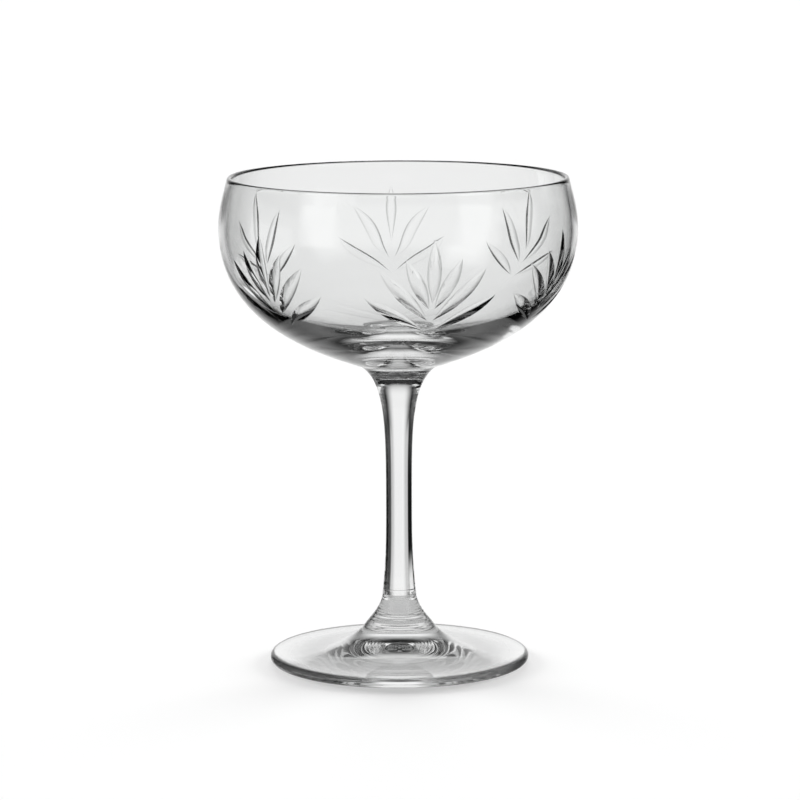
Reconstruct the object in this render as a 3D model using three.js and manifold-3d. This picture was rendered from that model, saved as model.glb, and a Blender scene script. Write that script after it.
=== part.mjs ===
// Coupe cocktail glass: a blown bowl with wheel-cut leaf fans, a drawn stem and a pressed foot,
// fused end to end while hot. Millimetres, +Z up, the origin on the table under the middle of the foot.
import * as THREE from "three";
import { mergeVertices } from "three/addons/utils/BufferGeometryUtils.js";
import Module from "manifold-3d";

// Heights, each from the bottom of its own piece
const FOOT_HEIGHT = 16.5; // table to the joint of foot and stem
const STEM_LENGTH = 56.1; // that joint to the joint of stem and bowl
const BELLY_HEIGHT = 33.5; // that joint to the widest part of the bowl
const SHOULDER_HEIGHT = 12.2; // widest part to the top of the lip

// Fused joints: the same disc on both pieces
const NECK_RADIUS = 4.1; // foot to stem
const SEAT_RADIUS = 9.4; // stem to bowl

// Bowl. A fullness is how far a curve keeps to the direction of its first and of its last end,
// as a share of the distance between the ends.
const BELLY_RADIUS = 43.1;
const RIM_RADIUS = 41;
const BASE_SLOPE = 18; // degrees up from level where the bowl leaves its seat
const BASE_FULLNESS = [0.307, 0.444]; // seat to belly
const RIM_LEAN = 12.7; // degrees inward from upright at the lip
const SHOULDER_FULLNESS = [0.41, 0.33]; // belly to lip
const RIM_WALL = 1.2;
const BELLY_WALL = 1.6;
const BASE_WALL = 5.5;
const WELL_FULLNESS = [0.4, 0.42]; // inside, belly to bottom

// Leaf fans cut into the bowl with round-edged wheels
const LARGE_FANS = [11.3, 63.7, 311.5]; // degrees round the bowl from the front
const SMALL_FANS = [128.2, 182.4, 238.3];
const LARGE_LEAF_WIDTH = 3.5;
const LARGE_LEAF_DEPTH = 0.6;
const SMALL_LEAF_WIDTH = 2.8;
const SMALL_LEAF_DEPTH = 0.5;
const LEAF_ROUNDING = 0.9; // of a leaf's two flanks: 0 is a plain V, 1 a smooth trough
// Leaves from the middle of a fan outward, at the base and at the tip:
// degrees off the fan's middle, and share of the bowl's height
const LARGE_LEAVES = [
  { base: [0, 0.442], tip: [0, 0.766] },
  { base: [1, 0.411], tip: [8.8, 0.67] },
  { base: [1.2, 0.348], tip: [17.1, 0.615] },
  { base: [2.4, 0.291], tip: [22.3, 0.468] },
];
const SMALL_LEAVES = [
  { base: [0, 0.53], tip: [0, 0.86] },
  { base: [1.1, 0.45], tip: [13.1, 0.71] },
  { base: [1.5, 0.365], tip: [19, 0.552] },
];

// Stem
const WAIST_RADIUS = 3.17;
const WAIST_HEIGHT = 24; // neck joint to the thinnest part
const NECK_LEAN = 6; // degrees inward from upright, on both sides of the neck joint
const SHANK_FULLNESS = [0.333, 0.5]; // neck to waist
const SEAT_LEAN = 57; // degrees outward from upright where the stem meets its seat
const FLARE_FULLNESS = [0.55, 0.22]; // waist to seat

// Foot
const FOOT_RADIUS = 31.5;
const EDGE_THICKNESS = 2.2; // the edge is fully rounded
const STAND_WIDTH = 4; // flat ring that the glass stands on
const HOLLOW_DEPTH = 4; // rise of the underside at its middle
const HOLLOW_FULLNESS = [0.3, 0.6]; // middle to standing ring
const BELL_RADIUS = 8.5; // where the bell meets the disc
const BELL_HEIGHT = 8.7;
const DISC_SLOPE = 55; // degrees up from level where the disc meets the bell
const DISC_FULLNESS = [0.304, 0.347]; // edge to bell
const BELL_LEAN = 32; // degrees inward from upright at the bottom of the bell
const BELL_FULLNESS = [0.18, 0.4]; // disc to neck

// Facets: round each piece, and along each curve of its outline
const BOWL_SIDES = 72;
const BASE_STEPS = 10;
const SHOULDER_STEPS = 4;
const LIP_STEPS = 4;
const WELL_STEPS = 9;
const STEM_SIDES = 36;
const SHANK_STEPS = 5;
const FLARE_STEPS = 11;
const FOOT_SIDES = 60;
const HOLLOW_STEPS = 5;
const EDGE_STEPS = 6;
const DISC_STEPS = 7;
const BELL_STEPS = 6;
const LEAF_STEPS = 6;
const FLANK_STEPS = 2;
const LEAF_END = 0.03; // width left at a leaf's two ends, as a share of its full width
const CUTTER_REACH = 1.2; // half width of a leaf's cutter, as a share of the leaf's

const UPRIGHT = 90; // degrees from level
const FINE_SHARE = 1e-6; // of a curve, to find a height on it
const CLEAR_GLASS = 0xe2e6e8;

const wasm = await Module();
wasm.setup();

// Outlines: points are a radius and a height, directions are degrees from level

const point = (radius, height) => new THREE.Vector2(radius, height);

const step = (from, degrees, length) => {
  const angle = THREE.MathUtils.degToRad(degrees);
  return point(from.x + length * Math.cos(angle), from.y + length * Math.sin(angle));
};

// A curve that leaves its first end in one direction and arrives at its last in another
const sweep = (from, leaving, to, arriving, fullness) => {
  const span = from.distanceTo(to);
  return new THREE.CubicBezierCurve(
    from,
    step(from, leaving, fullness[0] * span),
    step(to, arriving, -fullness[1] * span),
    to,
  );
};

// A half round about a centre, counter-clockwise from a direction
const halfRound = (centre, radius, from, steps) =>
  Array.from({ length: steps + 1 }, (_, i) => step(centre, from + (2 * UPRIGHT * i) / steps, radius));

// Solids

// Turns an outline about the Z axis into one closed body
function turned(outline, sides) {
  const geometry = new THREE.LatheGeometry(outline, sides).rotateX(Math.PI / 2);
  geometry.deleteAttribute("normal");
  geometry.deleteAttribute("uv");
  return mergeVertices(geometry);
}

function toSolid(geometry) {
  return new wasm.Manifold(
    new wasm.Mesh({
      numProp: 3,
      vertProperties: new Float32Array(geometry.attributes.position.array),
      triVerts: new Uint32Array(geometry.index.array),
    }),
  );
}

function toGeometry(solid) {
  const mesh = solid.getMesh();
  const geometry = new THREE.BufferGeometry();
  geometry.setAttribute("position", new THREE.BufferAttribute(mesh.vertProperties, 3));
  geometry.setIndex(new THREE.BufferAttribute(mesh.triVerts, 1));
  return geometry;
}

function glassMesh(name, geometry) {
  const material = new THREE.MeshStandardMaterial({
    color: CLEAR_GLASS,
    roughness: 0.03,
    metalness: 0,
    transparent: true,
    opacity: 0.35,
  });
  geometry.computeVertexNormals();
  const mesh = new THREE.Mesh(geometry, material);
  mesh.name = name;
  return mesh;
}

// Bowl: a shell with a rounded lip and a thick base on a flat seat

const belly = point(BELLY_RADIUS, BELLY_HEIGHT);
const bowlHeight = BELLY_HEIGHT + SHOULDER_HEIGHT;
const lipCentre = point(RIM_RADIUS - RIM_WALL / 2, bowlHeight - RIM_WALL / 2);
const lipOutside = step(lipCentre, 0, RIM_WALL / 2);
const bowlBase = sweep(point(SEAT_RADIUS, 0), BASE_SLOPE, belly, UPRIGHT, BASE_FULLNESS);
const bowlShoulder = sweep(belly, UPRIGHT, lipOutside, UPRIGHT + RIM_LEAN, SHOULDER_FULLNESS);

function bowlOutline() {
  const lipInside = step(lipCentre, 0, -RIM_WALL / 2);
  const wellBelly = point(BELLY_RADIUS - BELLY_WALL, BELLY_HEIGHT);
  const wellBottom = point(0, BASE_WALL);
  const wellShoulder = sweep(wellBelly, UPRIGHT, lipInside, UPRIGHT + RIM_LEAN, SHOULDER_FULLNESS);
  const well = sweep(wellBelly, -UPRIGHT, wellBottom, 2 * UPRIGHT, WELL_FULLNESS);
  return [
    point(0, 0),
    ...bowlBase.getPoints(BASE_STEPS),
    ...bowlShoulder.getPoints(SHOULDER_STEPS).slice(1),
    ...halfRound(lipCentre, RIM_WALL / 2, 0, LIP_STEPS).slice(1),
    ...wellShoulder.getPoints(SHOULDER_STEPS).reverse().slice(1),
    ...well.getPoints(WELL_STEPS).slice(1),
  ];
}

// The bowl's outside at a given height: its radius, and the direction in which it rises
function bowlSide(height) {
  const curve = height < BELLY_HEIGHT ? bowlBase : bowlShoulder;
  let below = 0;
  let above = 1;
  while (above - below > FINE_SHARE) {
    const middle = (below + above) / 2;
    if (curve.getPoint(middle).y < height) below = middle;
    else above = middle;
  }
  return { radius: curve.getPoint(below).x, rise: curve.getTangent(below) };
}

// A place on the bowl's outside, and the direction straight out of it
function onBowl(degrees, height) {
  const angle = THREE.MathUtils.degToRad(degrees);
  const { radius, rise } = bowlSide(height);
  const outward = new THREE.Vector3(Math.sin(angle), -Math.cos(angle), 0);
  const up = new THREE.Vector3(0, 0, 1);
  return {
    place: outward.clone().multiplyScalar(radius).addScaledVector(up, height),
    normal: outward.clone().multiplyScalar(rise.y).addScaledVector(up, -rise.x),
  };
}

// One leaf: a bar that follows the bowl from base to tip and narrows to a point at both,
// with the leaf's trough below and its back clear of the glass
function leafCutter(fan, side, leaf, width, depth) {
  const base = onBowl(fan + side * leaf.base[0], leaf.base[1] * bowlHeight).place;
  const tip = onBowl(fan + side * leaf.tip[0], leaf.tip[1] * bowlHeight).place;
  const along = tip.clone().sub(base).normalize();
  const corners = [];
  for (let i = 0; i <= LEAF_STEPS; i += 1) {
    const t = i / LEAF_STEPS;
    const size = Math.max(4 * t * (1 - t), LEAF_END);
    const chord = base.clone().lerp(tip, t);
    const degrees = THREE.MathUtils.radToDeg(Math.atan2(chord.x, -chord.y));
    const { place, normal } = onBowl(degrees, chord.z);
    const across = new THREE.Vector3().crossVectors(along, normal).normalize();
    for (let k = -FLANK_STEPS; k <= FLANK_STEPS; k += 1) {
      const share = (CUTTER_REACH * k) / FLANK_STEPS;
      const rise = (1 - LEAF_ROUNDING) * Math.abs(share) + LEAF_ROUNDING * share ** 2;
      const corner = place.clone().addScaledVector(across, (share * size * width) / 2);
      corners.push(corner.addScaledVector(normal, (rise - 1) * size * depth));
    }
  }
  const faces = barFaces(2 * FLANK_STEPS + 1, LEAF_STEPS);
  return new THREE.BufferGeometry().setFromPoints(corners).setIndex(faces);
}

// Faces of a bar with a number of corners round it and of steps along it
function barFaces(corners, steps) {
  const faces = [];
  for (let i = 2; i < corners; i += 1) {
    faces.push(0, i - 1, i);
    faces.push(corners * steps, corners * steps + i, corners * steps + i - 1);
  }
  for (let row = 0; row < corners * steps; row += corners) {
    for (let i = 0; i < corners; i += 1) {
      const a = row + i;
      const b = row + ((i + 1) % corners);
      faces.push(a, a + corners, b, b, a + corners, b + corners);
    }
  }
  return faces;
}

function makeBowl() {
  let bowl = toSolid(turned(bowlOutline(), BOWL_SIDES));
  const cutFans = (fans, leaves, width, depth) => {
    for (const fan of fans) {
      for (const leaf of leaves) {
        const sides = leaf.tip[0] ? [-1, 1] : [1];
        for (const side of sides) bowl = bowl.subtract(toSolid(leafCutter(fan, side, leaf, width, depth)));
      }
    }
  };
  cutFans(LARGE_FANS, LARGE_LEAVES, LARGE_LEAF_WIDTH, LARGE_LEAF_DEPTH);
  cutFans(SMALL_FANS, SMALL_LEAVES, SMALL_LEAF_WIDTH, SMALL_LEAF_DEPTH);
  return glassMesh("bowl", toGeometry(bowl));
}

// Stem: waisted, flared out to the bowl's seat, and as wide as the foot's neck below

function makeStem() {
  const neck = point(NECK_RADIUS, 0);
  const waist = point(WAIST_RADIUS, WAIST_HEIGHT);
  const seat = point(SEAT_RADIUS, STEM_LENGTH);
  const shank = sweep(neck, UPRIGHT + NECK_LEAN, waist, UPRIGHT, SHANK_FULLNESS);
  const flare = sweep(waist, UPRIGHT, seat, UPRIGHT - SEAT_LEAN, FLARE_FULLNESS);
  const outline = [
    point(0, 0),
    ...shank.getPoints(SHANK_STEPS),
    ...flare.getPoints(FLARE_STEPS).slice(1),
    point(0, STEM_LENGTH),
  ];
  return glassMesh("stem", turned(outline, STEM_SIDES));
}

// Foot: a disc with a hollowed underside, and a bell that rises from it to the neck

function makeFoot() {
  const edgeRadius = EDGE_THICKNESS / 2;
  const edgeCentre = point(FOOT_RADIUS - edgeRadius, edgeRadius);
  const edgeTop = step(edgeCentre, UPRIGHT, edgeRadius);
  const standInside = point(edgeCentre.x - STAND_WIDTH, 0);
  const bellBottom = point(BELL_RADIUS, BELL_HEIGHT);
  const neck = point(NECK_RADIUS, FOOT_HEIGHT);
  const hollow = sweep(point(0, HOLLOW_DEPTH), 0, standInside, 0, HOLLOW_FULLNESS);
  const disc = sweep(edgeTop, 2 * UPRIGHT, bellBottom, 2 * UPRIGHT - DISC_SLOPE, DISC_FULLNESS);
  const bell = sweep(bellBottom, UPRIGHT + BELL_LEAN, neck, UPRIGHT + NECK_LEAN, BELL_FULLNESS);
  const outline = [
    ...hollow.getPoints(HOLLOW_STEPS),
    ...halfRound(edgeCentre, edgeRadius, -UPRIGHT, EDGE_STEPS),
    ...disc.getPoints(DISC_STEPS).slice(1),
    ...bell.getPoints(BELL_STEPS).slice(1),
    point(0, FOOT_HEIGHT),
  ];
  return glassMesh("foot", turned(outline, FOOT_SIDES));
}

const glass = new THREE.Group();
const foot = makeFoot();
const stem = makeStem();
const bowl = makeBowl();
stem.position.z = FOOT_HEIGHT;
bowl.position.z = FOOT_HEIGHT + STEM_LENGTH;
glass.add(foot, stem, bowl);

export default glass;
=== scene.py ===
import math

import bpy
from mathutils import Matrix, Vector, geometry, kdtree


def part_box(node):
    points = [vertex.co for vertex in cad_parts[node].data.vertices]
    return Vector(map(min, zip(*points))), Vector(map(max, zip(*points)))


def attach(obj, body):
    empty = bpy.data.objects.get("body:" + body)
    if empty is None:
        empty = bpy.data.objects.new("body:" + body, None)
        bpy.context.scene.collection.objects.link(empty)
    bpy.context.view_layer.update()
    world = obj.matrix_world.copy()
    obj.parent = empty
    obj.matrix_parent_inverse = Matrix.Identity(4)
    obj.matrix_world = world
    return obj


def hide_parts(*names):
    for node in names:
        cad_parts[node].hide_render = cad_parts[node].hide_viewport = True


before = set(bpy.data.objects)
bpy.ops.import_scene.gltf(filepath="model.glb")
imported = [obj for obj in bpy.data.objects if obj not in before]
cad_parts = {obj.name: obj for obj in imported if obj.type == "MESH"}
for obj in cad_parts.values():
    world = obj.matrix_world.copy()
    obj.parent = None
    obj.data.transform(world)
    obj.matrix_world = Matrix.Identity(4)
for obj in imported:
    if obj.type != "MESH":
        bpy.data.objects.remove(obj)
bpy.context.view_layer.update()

# Foot
# A disc of clear glass pressed from its own gather. Its bell rises to the neck of the stem, where it is
# fused on, and keeps fine rings from the turning of the hot glass. The edge is fully rounded, and the
# foot stands on a flat ring round a shallow hollow.

# Lengths are in millimetres and angles in degrees. On an outline, 0 is straight out from the axis.
MM = 0.001
UPRIGHT = 90
HALF_TURN = 180

foot_low, foot_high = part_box("foot")
FOOT_RADIUS = foot_high.x / MM
FOOT_HEIGHT = foot_high.z / MM
NECK_RADIUS = 4.1
NECK_LEAN = 6
SEAM_BEVEL = 0.12
EDGE_RADIUS = 1.1
STAND_WIDTH = 4
HOLLOW_DEPTH = 4
HOLLOW_FULLNESS = (0.3, 0.6)
BELL_RADIUS = 8.5
BELL_HEIGHT = 8.7
DISC_SLOPE = 55
DISC_FULLNESS = (0.304, 0.347)
BELL_LEAN = 32
BELL_FULLNESS = (0.18, 0.4)
RING_SPACING = 1
RING_HEIGHT = 0.02

FOOT_SIDES = 192
HOLLOW_STEPS = 40
EDGE_STEPS = 16
DISC_STEPS = 30
BELL_STEPS = 120


def step(start, degrees, length):
    """The place at some length from another, in one direction."""
    angle = math.radians(degrees)
    return Vector((start[0] + length * math.cos(angle), start[1] + length * math.sin(angle)))


def sweep(start, leaving, end, arriving, fullness, steps):
    """Points on a curve that leaves its start in one direction and arrives at its end in another."""
    span = math.dist(start, end)
    near = step(start, leaving, fullness[0] * span)
    far = step(end, arriving, -fullness[1] * span)
    return geometry.interpolate_bezier(Vector(start), near, far, Vector(end), steps + 1)


def half_round(centre, radius, first, steps):
    """Points on half a circle, from the first direction on."""
    return [step(centre, first + HALF_TURN * i / steps, radius) for i in range(steps + 1)]


def direction(points, i):
    """Which way a row of points runs at one of them."""
    before = points[i] - points[i - 1] if i else points[1] - points[0]
    after = points[i + 1] - points[i] if i + 1 < len(points) else before
    return (before.normalized() * after.length + after.normalized() * before.length).normalized()


def swell(share):
    """0 at both ends of a stretch and 1 in its middle."""
    return 4 * share * (1 - share)


def ringed(points):
    """A curve with fine rings on it, which fade out towards both ends."""
    lengths = [0]
    for before, after in zip(points, points[1:]):
        lengths.append(lengths[-1] + (after - before).length)
    places = []
    for i, place in enumerate(points):
        wave = math.sin(2 * math.pi * lengths[i] / RING_SPACING)
        height = RING_HEIGHT * swell(lengths[i] / lengths[-1]) * wave
        along = direction(points, i)
        places.append(place + Vector((along.y, -along.x)) * height)
    return places


def foot_outline():
    """From the middle of the hollow out to the edge, over the disc and up the bell to the joint."""
    edge_centre = (FOOT_RADIUS - EDGE_RADIUS, EDGE_RADIUS)
    edge_top = step(edge_centre, UPRIGHT, EDGE_RADIUS)
    stand_inside = (edge_centre[0] - STAND_WIDTH, 0)
    bell_bottom = (BELL_RADIUS, BELL_HEIGHT)
    neck = (NECK_RADIUS, FOOT_HEIGHT - SEAM_BEVEL)
    seam = (NECK_RADIUS - SEAM_BEVEL, FOOT_HEIGHT)
    hollow = sweep((0, HOLLOW_DEPTH), 0, stand_inside, 0, HOLLOW_FULLNESS, HOLLOW_STEPS)
    edge = half_round(edge_centre, EDGE_RADIUS, -UPRIGHT, EDGE_STEPS)
    disc = sweep(edge_top, HALF_TURN, bell_bottom, HALF_TURN - DISC_SLOPE, DISC_FULLNESS, DISC_STEPS)
    bell = sweep(bell_bottom, UPRIGHT + BELL_LEAN, neck, UPRIGHT + NECK_LEAN, BELL_FULLNESS, BELL_STEPS)
    return [*hollow, *edge, *disc[1:], *ringed(bell)[1:], seam, (0, FOOT_HEIGHT)]


ON_AXIS = 0.001
TURNED_SLOT = 0
JOINT_SLOT = 1


def turned(name, outline, base, sides, joints):
    """A closed body of revolution. Its outline runs from the axis to the axis, with heights above base.

    joints numbers the stretches of the outline, from either end, that are fused to another piece.
    """
    ring = [(math.cos(2 * math.pi * i / sides), math.sin(2 * math.pi * i / sides)) for i in range(sides)]
    places = []
    rows = []
    for radius, height in outline:
        first = len(places)
        if radius < ON_AXIS:
            places.append((0, 0, (base + height) * MM))
            rows.append([first] * sides)
        else:
            places.extend((radius * x * MM, radius * y * MM, (base + height) * MM) for x, y in ring)
            rows.append([first + i for i in range(sides)])
    bands = list(zip(rows, rows[1:]))
    band_slots = [TURNED_SLOT] * len(bands)
    for joint in joints:
        band_slots[joint] = JOINT_SLOT
    faces = []
    slots = []
    for (lower, upper), slot in zip(bands, band_slots):
        for i in range(sides):
            j = (i + 1) % sides
            corners = [lower[i], lower[j], upper[j], upper[i]]
            faces.append(list(dict.fromkeys(corners)))
            slots.append(slot)
    mesh = bpy.data.meshes.new(name)
    mesh.from_pydata(places, [], faces)
    mesh.polygons.foreach_set("material_index", slots)
    mesh.validate()
    piece = bpy.data.objects.new(name, mesh)
    bpy.context.collection.objects.link(piece)
    return piece


SMOOTH_UP_TO = 13


def smooth(mesh):
    """Shades the faces as one round surface, apart from edges that turn more sharply."""
    mesh.shade_smooth()
    mesh.set_sharp_from_angle(angle=math.radians(SMOOTH_UP_TO))


class Socket:
    """A node's output. Sums on it add Math nodes to the tree that it is in."""

    def __init__(self, nodes, socket):
        self.nodes = nodes
        self.socket = socket

    def math(self, operation, *others):
        inputs = dict(enumerate((self, *others)))
        return self.nodes.make("ShaderNodeMath", {"operation": operation}, inputs)

    def __add__(self, other):
        return self.math("ADD", other)

    def __sub__(self, other):
        return self.math("SUBTRACT", other)

    def __rsub__(self, other):
        return self.nodes.make("ShaderNodeMath", {"operation": "SUBTRACT"}, {0: other, 1: self})

    def __mul__(self, other):
        return self.math("MULTIPLY", other)

    __radd__ = __add__
    __rmul__ = __mul__


class Nodes:
    """A node tree, emptied, to which nodes are added one at a time."""

    def __init__(self, tree):
        self.tree = tree
        tree.nodes.clear()

    def make(self, kind, settings, inputs, output=0):
        """Adds a node, sets it, gives its sockets their values or links, and hands back one output."""
        node = self.tree.nodes.new(kind)
        for name, value in settings.items():
            setattr(node, name, value)
        for name, value in inputs.items():
            if isinstance(value, Socket):
                self.tree.links.new(value.socket, node.inputs[name])
            else:
                node.inputs[name].default_value = value
        return Socket(self, node.outputs[output]) if node.outputs else None


WHITE = (1, 1, 1, 1)
GLASS_IOR = 1.52
GLASS_TINT = (0.985, 0.99, 0.988, 1)
POLISH_ROUGHNESS = 0.02
WAVE_DETAIL = 2

FOOT_LIGHT = 0.5
FOOT_WAVE_LENGTH = 12
FOOT_WAVE_HEIGHT = 0.02


def clear_glass(name, lamp_light, wave_length, wave_height):
    """Polished glass with faint waves.

    lamp_light is the share of the lamps' light that each surface lets fall through on the table.
    """
    material = bpy.data.materials.new(name)
    material.use_nodes = True
    nodes = Nodes(material.node_tree)
    place = nodes.make("ShaderNodeTexCoord", {}, {}, "Object")
    waves = nodes.make(
        "ShaderNodeTexNoise",
        {},
        {"Vector": place, "Scale": 1 / (wave_length * MM), "Detail": WAVE_DETAIL},
    )
    bump = nodes.make("ShaderNodeBump", {}, {"Height": waves, "Distance": wave_height * MM, "Strength": 1})
    glass = nodes.make(
        "ShaderNodeBsdfPrincipled",
        {},
        {
            "Base Color": GLASS_TINT,
            "Roughness": waves * POLISH_ROUGHNESS,
            "IOR": GLASS_IOR,
            "Transmission Weight": 1,
            "Normal": bump,
        },
    )
    light_through = nodes.make("ShaderNodeBsdfTransparent", {}, {"Color": (lamp_light,) * 3 + (1,)})
    lamp_ray = nodes.make("ShaderNodeLightPath", {}, {}, "Is Shadow Ray")
    surface = nodes.make("ShaderNodeMixShader", {}, {0: lamp_ray, 1: glass, 2: light_through})
    nodes.make("ShaderNodeOutputMaterial", {}, {"Surface": surface})
    return material


def fused_glass():
    """The face where two pieces of glass have run into one, so that light passes it unbent."""
    material = bpy.data.materials.new("fused_joint")
    material.use_nodes = True
    nodes = Nodes(material.node_tree)
    surface = nodes.make("ShaderNodeBsdfTransparent", {}, {"Color": WHITE})
    nodes.make("ShaderNodeOutputMaterial", {}, {"Surface": surface})
    return material


foot = turned("glass_foot", foot_outline(), foot_low.z / MM, FOOT_SIDES, joints=[-1])
smooth(foot.data)
foot_glass = clear_glass("pressed_foot_glass", FOOT_LIGHT, FOOT_WAVE_LENGTH, FOOT_WAVE_HEIGHT)
fused_joint = fused_glass()
foot.data.materials.append(foot_glass)
foot.data.materials.append(fused_joint)
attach(foot, "root")
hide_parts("foot")

# Stem
# A solid waisted rod of clear glass, drawn out hot. It flares to the seat under the bowl, and the fine
# ring where it was fused to the foot still shows just above the bell.

stem_low, stem_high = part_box("stem")
SEAT_RADIUS = stem_high.x / MM
STEM_LENGTH = (stem_high.z - stem_low.z) / MM
WAIST_RADIUS = 3.17
WAIST_HEIGHT = 24
SHANK_FULLNESS = (0.333, 0.5)
SEAT_LEAN = 57
FLARE_FULLNESS = (0.55, 0.22)

STEM_SIDES = 128
SHANK_STEPS = 24
FLARE_STEPS = 60

STEM_LIGHT = 0.97
STEM_WAVE_LENGTH = 12
STEM_WAVE_HEIGHT = 0.02


def stem_outline():
    """From the joint with the foot up the shank and out to the seat of the bowl."""
    seam = (NECK_RADIUS - SEAM_BEVEL, 0)
    neck = (NECK_RADIUS, SEAM_BEVEL)
    waist = (WAIST_RADIUS, WAIST_HEIGHT)
    seat = (SEAT_RADIUS, STEM_LENGTH)
    shank = sweep(neck, UPRIGHT + NECK_LEAN, waist, UPRIGHT, SHANK_FULLNESS, SHANK_STEPS)
    flare = sweep(waist, UPRIGHT, seat, UPRIGHT - SEAT_LEAN, FLARE_FULLNESS, FLARE_STEPS)
    return [(0, 0), seam, *shank, *flare[1:], (0, STEM_LENGTH)]


stem = turned("glass_stem", stem_outline(), stem_low.z / MM, STEM_SIDES, joints=[0, -1])
smooth(stem.data)
stem_glass = clear_glass("drawn_stem_glass", STEM_LIGHT, STEM_WAVE_LENGTH, STEM_WAVE_HEIGHT)
stem.data.materials.append(stem_glass)
stem.data.materials.append(fused_joint)
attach(stem, "root")
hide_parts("stem")

# Bowl
# A shell of clear glass blown in a mould, with a fire-polished lip and a thick base that is fused to the
# stem. Three large fans of seven leaves and three small ones of five are cut into its outside with
# round-edged wheels and polished bright.

bowl_low, bowl_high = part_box("bowl")
BELLY_RADIUS = bowl_high.x / MM
BOWL_HEIGHT = (bowl_high.z - bowl_low.z) / MM
BELLY_HEIGHT = 33.5
RIM_RADIUS = 41
BASE_SLOPE = 18
BASE_FULLNESS = (0.307, 0.444)
RIM_LEAN = 12.7
SHOULDER_FULLNESS = (0.41, 0.33)
LIP_RADIUS = 0.6
BELLY_WALL = 1.6
BASE_WALL = 5.5
WELL_FULLNESS = (0.4, 0.42)

BOWL_SIDES = 240
BASE_STEPS = 60
SHOULDER_STEPS = 16
LIP_STEPS = 14
WELL_SHOULDER_STEPS = 14
WELL_STEPS = 50

BOWL_LIGHT = 0.985
BOWL_WAVE_LENGTH = 20
BOWL_WAVE_HEIGHT = 0.01

# Degrees round the bowl from the near side to the middle of each fan
LARGE_FANS = (11.3, 63.7, 311.5)
SMALL_FANS = (128.2, 182.4, 238.3)
# From the middle leaf outward: degrees off the fan's middle and share of the bowl's height, at base and tip
LARGE_LEAVES = (
    (0, 0.442, 0, 0.766),
    (1, 0.411, 8.8, 0.67),
    (1.2, 0.348, 17.1, 0.615),
    (2.4, 0.291, 22.3, 0.468),
)
SMALL_LEAVES = (
    (0, 0.53, 0, 0.86),
    (1.1, 0.45, 13.1, 0.71),
    (1.5, 0.365, 19, 0.552),
)
LARGE_LEAF_WIDTH = 3.5
LARGE_LEAF_DEPTH = 0.6
SMALL_LEAF_WIDTH = 2.8
SMALL_LEAF_DEPTH = 0.5
# From 0, a groove with straight flanks, to 1, one with a round bottom
LEAF_ROUNDING = 0.9
# The cutter's size at its ends as a share of its full size, and its half width as a share of the leaf's
LEAF_END = 0.03
LEAF_REACH = 1.2
LEAF_STEPS = 28
FLANK_STEPS = 6

CUT_SLOT = 2
LEAF_LIGHT = 0.97
LEAF_WAVE_LENGTH = 3
LEAF_WAVE_HEIGHT = 0.02

belly = (BELLY_RADIUS, BELLY_HEIGHT)
lip_centre = (RIM_RADIUS - LIP_RADIUS, BOWL_HEIGHT - LIP_RADIUS)
lip = half_round(lip_centre, LIP_RADIUS, RIM_LEAN, LIP_STEPS)
bowl_base = sweep((SEAT_RADIUS, 0), BASE_SLOPE, belly, UPRIGHT, BASE_FULLNESS, BASE_STEPS)
bowl_shoulder = sweep(belly, UPRIGHT, lip[0], UPRIGHT + RIM_LEAN, SHOULDER_FULLNESS, SHOULDER_STEPS)
bowl_side = bowl_base + bowl_shoulder[1:]


def bowl_outline():
    """From the seat up the outside, over the lip and down the inside to the bottom of the well."""
    well_belly = (BELLY_RADIUS - BELLY_WALL, BELLY_HEIGHT)
    well_lean = UPRIGHT + RIM_LEAN
    well_shoulder = sweep(well_belly, UPRIGHT, lip[-1], well_lean, SHOULDER_FULLNESS, WELL_SHOULDER_STEPS)
    well = sweep(well_belly, -UPRIGHT, (0, BASE_WALL), HALF_TURN, WELL_FULLNESS, WELL_STEPS)
    return [(0, 0), *bowl_side, *lip[1:], *well_shoulder[-2::-1], *well[1:]]


def on_bowl(degrees, height):
    """A place on the bowl's outside, and the direction straight out of it."""
    above = next((i for i, place in enumerate(bowl_side) if place.y > height), len(bowl_side) - 1)
    low, high = bowl_side[above - 1], bowl_side[above]
    share = (height - low.y) / (high.y - low.y)
    radius = low.x + share * (high.x - low.x)
    rise = direction(bowl_side, above - 1).lerp(direction(bowl_side, above), share)
    angle = math.radians(degrees)
    outward = Vector((math.sin(angle), -math.cos(angle), 0))
    up = Vector((0, 0, 1))
    return outward * radius + up * height, outward * rise.y - up * rise.x


def leaf_cutter(fan, side, leaf, width, depth):
    """Rings of corners round a bar that follows the bowl and runs out to a point at base and tip."""
    base_degrees, base_share, tip_degrees, tip_share = leaf
    base = on_bowl(fan + side * base_degrees, base_share * BOWL_HEIGHT)[0]
    tip = on_bowl(fan + side * tip_degrees, tip_share * BOWL_HEIGHT)[0]
    along = (tip - base).normalized()
    rings = []
    for i in range(LEAF_STEPS + 1):
        size = max(swell(i / LEAF_STEPS), LEAF_END)
        chord = base.lerp(tip, i / LEAF_STEPS)
        place, normal = on_bowl(math.degrees(math.atan2(chord.x, -chord.y)), chord.z)
        across = along.cross(normal).normalized()
        ring = []
        for k in range(-FLANK_STEPS, FLANK_STEPS + 1):
            share = LEAF_REACH * k / FLANK_STEPS
            rise = (1 - LEAF_ROUNDING) * abs(share) + LEAF_ROUNDING * share**2
            sideways = across * (share * width / 2 * size)
            ring.append(place + sideways + normal * (depth * (rise - 1) * size))
        rings.append(ring)
    return rings


def bar_faces(first, corners, steps):
    """Faces of a bar with some corners round it and some steps along it, from its first corner's number."""
    last = first + corners * steps
    faces = [tuple(range(first, first + corners)), tuple(range(last + corners - 1, last - 1, -1))]
    for row in range(first, last, corners):
        for i in range(corners):
            j = (i + 1) % corners
            faces.append((row + i, row + corners + i, row + corners + j, row + j))
    return faces


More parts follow.
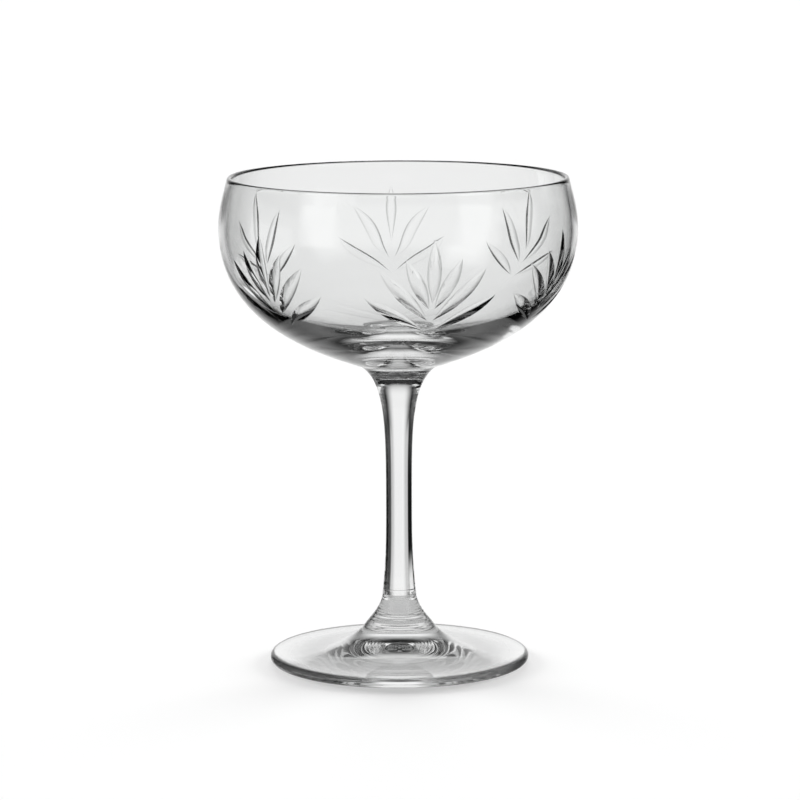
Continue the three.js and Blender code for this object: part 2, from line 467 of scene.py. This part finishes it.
def cut(bowl, cutters):
    """Takes leaves that don't cross one another out of the bowl."""
    places = []
    faces = []
    for rings in cutters:
        faces += bar_faces(len(places), len(rings[0]), len(rings) - 1)
        places += [(corner + Vector((0, 0, bowl_low.z / MM))) * MM for ring in rings for corner in ring]
    mesh = bpy.data.meshes.new("leaf_cutter")
    mesh.from_pydata(places, [], faces)
    for material in bowl.data.materials:
        mesh.materials.append(material)
    mesh.polygons.foreach_set("material_index", [CUT_SLOT] * len(faces))
    cutter = bpy.data.objects.new("leaf_cutter", mesh)
    bpy.context.collection.objects.link(cutter)
    leaf = bowl.modifiers.new("leaf", "BOOLEAN")
    leaf.operation = "DIFFERENCE"
    leaf.solver = "MANIFOLD"
    leaf.object = cutter
    shape = bpy.data.meshes.new_from_object(bowl.evaluated_get(bpy.context.evaluated_depsgraph_get()))
    bowl.modifiers.clear()
    bowl.data = shape
    bpy.data.objects.remove(cutter)
    bpy.data.meshes.remove(mesh)


def cut_fans(bowl):
    """Cuts the same leaf of every fan at a time, from the middle leaf outward."""
    for order in range(len(LARGE_LEAVES)):
        for side in (-1, 1) if order else (1,):
            large = (side, LARGE_LEAVES[order], LARGE_LEAF_WIDTH, LARGE_LEAF_DEPTH)
            cutters = [leaf_cutter(fan, *large) for fan in LARGE_FANS]
            if order < len(SMALL_LEAVES):
                small = (side, SMALL_LEAVES[order], SMALL_LEAF_WIDTH, SMALL_LEAF_DEPTH)
                cutters += [leaf_cutter(fan, *small) for fan in SMALL_FANS]
            cut(bowl, cutters)


def true_normals(mesh, outline, base):
    """Gives the uncut faces the normals of the turned form, so that the cuts leave no dents round them."""
    points = [Vector(place) for place in outline]
    tree = kdtree.KDTree(len(points))
    for i, place in enumerate(points):
        tree.insert((*place, 0), i)
    tree.balance()
    known = {}
    normals = [corner.vector.copy() for corner in mesh.corner_normals]
    for face in mesh.polygons:
        if face.material_index != TURNED_SLOT:
            continue
        for loop in face.loop_indices:
            vertex = mesh.loops[loop].vertex_index
            if vertex not in known:
                x, y, z = mesh.vertices[vertex].co / MM
                radius = math.hypot(x, y)
                nearest = tree.find((radius, z - base, 0))[1]
                along = direction(points, nearest)
                outward = Vector((x, y, 0)) / max(radius, ON_AXIS)
                known[vertex] = outward * along.y - Vector((0, 0, along.x))
            normals[loop] = known[vertex]
    mesh.normals_split_custom_set(normals)


outline = bowl_outline()
bowl = turned("glass_bowl", outline, bowl_low.z / MM, BOWL_SIDES, joints=[0])
bowl_glass = clear_glass("blown_bowl_glass", BOWL_LIGHT, BOWL_WAVE_LENGTH, BOWL_WAVE_HEIGHT)
leaf_glass = clear_glass("cut_leaf_glass", LEAF_LIGHT, LEAF_WAVE_LENGTH, LEAF_WAVE_HEIGHT)
bowl.data.materials.append(bowl_glass)
bowl.data.materials.append(fused_joint)
bowl.data.materials.append(leaf_glass)
cut_fans(bowl)
smooth(bowl.data)
true_normals(bowl.data, outline[1:], bowl_low.z / MM)
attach(bowl, "root")
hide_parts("bowl")

# Table and studio
# A white table that runs on into a white backdrop, with three low lamps behind the glass that throw its
# soft shadow forward. What shows in the glass is a dark studio with bright panels, and the dark between
# them draws the edges of the glass.

TABLE_SIZE = 8000
TABLE_GAP = 0.1
# Seen through the glass, the table fades out between these distances from the middle of the foot
TABLE_SEEN = 20
TABLE_LOST = 30


def fade_in(value, start, end):
    """0 before start and 1 after end, with a soft change between."""
    return value.nodes.make(
        "ShaderNodeMapRange",
        {"interpolation_type": "SMOOTHSTEP"},
        {"Value": value, "From Min": start, "From Max": end, "To Min": 0, "To Max": 1},
    )


half = TABLE_SIZE / 2 * MM
table_corners = [(x * half, y * half, -TABLE_GAP * MM) for x, y in ((-1, -1), (1, -1), (1, 1), (-1, 1))]
table_mesh = bpy.data.meshes.new("table")
table_mesh.from_pydata(table_corners, [], [(0, 1, 2, 3)])
table = bpy.data.objects.new("table", table_mesh)
bpy.context.collection.objects.link(table)

white_table = bpy.data.materials.new("white_table")
white_table.use_nodes = True
nodes = Nodes(white_table.node_tree)
white = nodes.make("ShaderNodeBsdfDiffuse", {}, {"Color": WHITE})
clear = nodes.make("ShaderNodeBsdfTransparent", {}, {"Color": WHITE})
place = nodes.make("ShaderNodeNewGeometry", {}, {}, "Position")
distance = nodes.make("ShaderNodeVectorMath", {"operation": "LENGTH"}, {0: place}, "Value")
beyond_foot = fade_in(distance, TABLE_SEEN * MM, TABLE_LOST * MM)
glass_ray = nodes.make("ShaderNodeLightPath", {}, {}, "Is Transmission Ray")
surface = nodes.make("ShaderNodeMixShader", {}, {0: beyond_foot * glass_ray, 1: white, 2: clear})
nodes.make("ShaderNodeOutputMaterial", {}, {"Surface": surface})
table_mesh.materials.append(white_table)

# The glass doesn't mirror the table, and the table's light from all round isn't dimmed by the glass
table.visible_glossy = False
for piece in (foot, stem, bowl):
    piece.visible_diffuse = False

DARK = 0.008
# Azimuth from straight behind the glass, half width, softness of the sides, lowest and highest elevation,
# softness of the ends, brightness. The last three stand behind the glass where it is seen from other sides.
PANELS = (
    (0, 22, 12, -38, 28, 20, 0.94),
    (-2.5, 29.5, 2.5, -24, -3, 4, 0.6),
    (0, 200, 1, -95, -52, 9, 0.32),
    (180, 62, 14, -6, 42, 6, 0.55),
    (126, 14, 5, -8, 42, 3, 1.0),
    (-126, 14, 5, -8, 42, 3, 1.0),
    (58, 22, 8, 0, 40, 6, 0.13),
    (-58, 22, 8, 0, 40, 6, 0.13),
    (-45, 14, 3, -33, -17, 3, 0.92),
    (-90, 20, 4, -15, 6, 3, 0.92),
    (135, 16, 4, -25, -5, 3, 0.92),
)
# Share of the table's light that comes from all round. The lamps give the rest, so that the table is white.
SURROUND_SHARE = 0.4
LAMP_SIDES = (-40, 0, 40)
LAMP_ELEVATION = 12
LAMP_SPREAD = 24

world = bpy.data.worlds.new("studio")
bpy.context.scene.world = world
world.use_nodes = True
nodes = Nodes(world.node_tree)
sight = nodes.make("ShaderNodeTexCoord", {}, {}, "Generated")
x, y, z = [nodes.make("ShaderNodeSeparateXYZ", {}, {0: sight}, axis) for axis in "XYZ"]
azimuth = x.math("ARCTAN2", y).math("DEGREES")
elevation = z.math("ARCSINE").math("DEGREES")

studio = DARK
for centre, half_width, side_softness, lowest, highest, end_softness, brightness in PANELS:
    off_centre = (azimuth - centre).math("WRAP", HALF_TURN, -HALF_TURN).math("ABSOLUTE")
    inside = 1 - fade_in(off_centre, half_width - side_softness, half_width + side_softness)
    inside = inside * fade_in(elevation, lowest - end_softness, lowest + end_softness)
    inside = inside * (1 - fade_in(elevation, highest - end_softness, highest + end_softness))
    studio = (inside * brightness).math("MAXIMUM", studio)

glossy_ray = nodes.make("ShaderNodeLightPath", {}, {}, "Is Glossy Ray")
glass_ray = nodes.make("ShaderNodeLightPath", {}, {}, "Is Transmission Ray")
camera_ray = nodes.make("ShaderNodeLightPath", {}, {}, "Is Camera Ray")
table_ray = nodes.make("ShaderNodeLightPath", {}, {}, "Is Diffuse Ray")
seen_in_glass = glossy_ray.math("MAXIMUM", glass_ray) * (1 - camera_ray)
strength = 1 + seen_in_glass * (studio - 1) - table_ray * (1 - SURROUND_SHARE)
background = nodes.make("ShaderNodeBackground", {}, {"Color": WHITE, "Strength": strength})
nodes.make("ShaderNodeOutputWorld", {}, {"Surface": background})

lamp_data = bpy.data.lights.new("lamp", "SUN")
lamp_data.angle = math.radians(LAMP_SPREAD)
lamp_share = (1 - SURROUND_SHARE) / len(LAMP_SIDES)
lamp_data.energy = lamp_share * math.pi / math.sin(math.radians(LAMP_ELEVATION))
for side in LAMP_SIDES:
    lamp = bpy.data.objects.new("lamp", lamp_data)
    bpy.context.collection.objects.link(lamp)
    lamp.rotation_euler = (math.radians(LAMP_ELEVATION - UPRIGHT), 0, math.radians(side))
    lamp.visible_glossy = False
    lamp.visible_transmission = False

# Camera
# A long lens in front of the glass and above its rim, looking down on it a little.
# Light may pass through many faces of the glass before it reaches the lens.

CAMERA_PLACE = (0.31, -863.4, 202.7)
CAMERA_DOWN = 9.124
CAMERA_ROLL = -0.188
CAMERA_LENS = 162.87
GLASS_BOUNCES = 32
MIRROR_BOUNCES = 16

camera_data = bpy.data.cameras.new("camera")
camera_data.lens = CAMERA_LENS
camera = bpy.data.objects.new("camera", camera_data)
bpy.context.collection.objects.link(camera)
camera.location = Vector(CAMERA_PLACE) * MM
tilt = Matrix.Rotation(math.radians(UPRIGHT - CAMERA_DOWN), 3, "X")
roll = Matrix.Rotation(math.radians(CAMERA_ROLL), 3, "Z")
camera.rotation_euler = (tilt @ roll).to_euler()

scene = bpy.context.scene
scene.camera = camera
scene.view_settings.view_transform = "Standard"
scene.cycles.max_bounces = GLASS_BOUNCES
scene.cycles.transmission_bounces = GLASS_BOUNCES
scene.cycles.transparent_max_bounces = GLASS_BOUNCES
scene.cycles.glossy_bounces = MIRROR_BOUNCES
